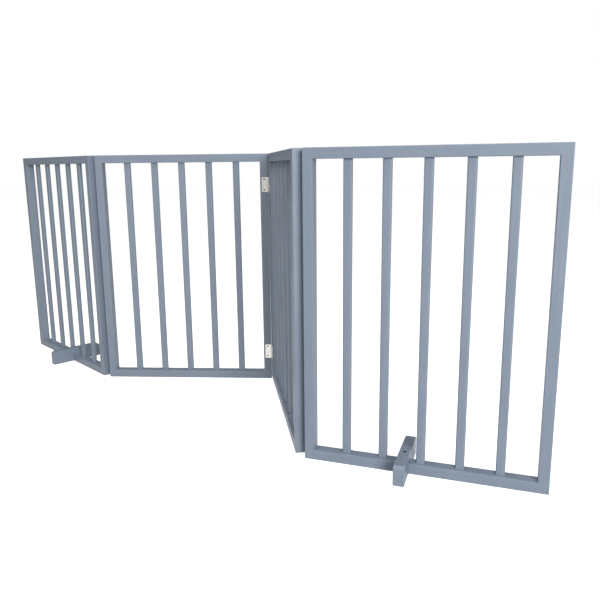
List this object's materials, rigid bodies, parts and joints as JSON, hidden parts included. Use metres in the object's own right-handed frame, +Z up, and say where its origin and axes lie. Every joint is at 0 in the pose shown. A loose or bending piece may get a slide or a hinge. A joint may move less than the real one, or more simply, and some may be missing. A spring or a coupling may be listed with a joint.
{
  "type": "folding pet gate",
  "caption": "Freestanding folding pet gate: barred wooden panels hinged in a zigzag, with a notched support foot across each outer panel.",
  "frame": {"origin": "centre of the footprint of the zigzag, on the floor", "axes": "+X along panel 2, from left to right as seen from the front; +Y towards the back; +Z up"},
  "size_m": [1.3752, 0.9294, 0.6096],
  "materials": {
    "painted_frame": "satin blue-grey paint over wood",
    "painted_bar": "satin blue-grey paint over wood",
    "painted_foot": "satin blue-grey paint over wood",
    "hinge_plate": "nickel plated",
    "hinge_pin_steel": "nickel plated",
    "hinge_screw_steel": "nickel plated",
    "foot_screw_steel": "dark zinc"
  },
  "bodies": {
    "panel_1": {"fold_1_2_lower_leaf_left": "hinge_plate", "fold_1_2_upper_leaf_left": "hinge_plate", "fold_1_2_pins": "hinge_pin_steel", "panel_1_hinge_screws": "hinge_screw_steel", "panel_1_foot": "painted_foot", "panel_1_foot_screw": "foot_screw_steel", "panel_1_left_stile": "painted_frame", "panel_1_right_stile": "painted_frame", "panel_1_bottom_rail": "painted_frame", "panel_1_top_rail": "painted_frame", "panel_1_bar_1": "painted_bar", "panel_1_bar_2": "painted_bar", "panel_1_bar_3": "painted_bar", "panel_1_bar_4": "painted_bar", "panel_1_bar_5": "painted_bar"},
    "panel_2": {"fold_1_2_lower_leaf_right": "hinge_plate", "fold_1_2_upper_leaf_right": "hinge_plate", "fold_2_3_lower_leaf_left": "hinge_plate", "fold_2_3_upper_leaf_left": "hinge_plate", "fold_2_3_pins": "hinge_pin_steel", "panel_2_hinge_screws": "hinge_screw_steel", "panel_2_left_stile": "painted_frame", "panel_2_right_stile": "painted_frame", "panel_2_bottom_rail": "painted_frame", "panel_2_top_rail": "painted_frame", "panel_2_bar_1": "painted_bar", "panel_2_bar_2": "painted_bar", "panel_2_bar_3": "painted_bar", "panel_2_bar_4": "painted_bar", "panel_2_bar_5": "painted_bar"},
    "panel_3": {"fold_2_3_lower_leaf_right": "hinge_plate", "fold_2_3_upper_leaf_right": "hinge_plate", "fold_3_4_lower_leaf_left": "hinge_plate", "fold_3_4_upper_leaf_left": "hinge_plate", "fold_3_4_pins": "hinge_pin_steel", "panel_3_hinge_screws": "hinge_screw_steel", "panel_3_left_stile": "painted_frame", "panel_3_right_stile": "painted_frame", "panel_3_bottom_rail": "painted_frame", "panel_3_top_rail": "painted_frame", "panel_3_bar_1": "painted_bar", "panel_3_bar_2": "painted_bar", "panel_3_bar_3": "painted_bar", "panel_3_bar_4": "painted_bar", "panel_3_bar_5": "painted_bar"},
    "panel_4": {"fold_3_4_lower_leaf_right": "hinge_plate", "fold_3_4_upper_leaf_right": "hinge_plate", "panel_4_hinge_screws": "hinge_screw_steel", "panel_4_foot": "painted_foot", "panel_4_foot_screw": "foot_screw_steel", "panel_4_left_stile": "painted_frame", "panel_4_right_stile": "painted_frame", "panel_4_bottom_rail": "painted_frame", "panel_4_top_rail": "painted_frame", "panel_4_bar_1": "painted_bar", "panel_4_bar_2": "painted_bar", "panel_4_bar_3": "painted_bar", "panel_4_bar_4": "painted_bar", "panel_4_bar_5": "painted_bar"}
  },
  "joints": [
    {"name": "fold_1_2", "type": "hinge", "parent": "panel_2", "child": "panel_1", "pos_m": [-0.333, 0.15695, 0.3048], "axis": [0, 0, -1], "range_deg": [-42.6, 121.5]},
    {"name": "fold_2_3", "type": "hinge", "parent": "panel_2", "child": "panel_3", "pos_m": [0.1252, 0.12795, 0.3048], "axis": [0, 0, -1], "range_deg": [-78.1, 92.2]},
    {"name": "fold_3_4", "type": "hinge", "parent": "panel_3", "child": "panel_4", "pos_m": [0.24806, -0.31442, 0.3048], "axis": [0, 0, 1], "range_deg": [-62.3, 99.2]}
  ]
}
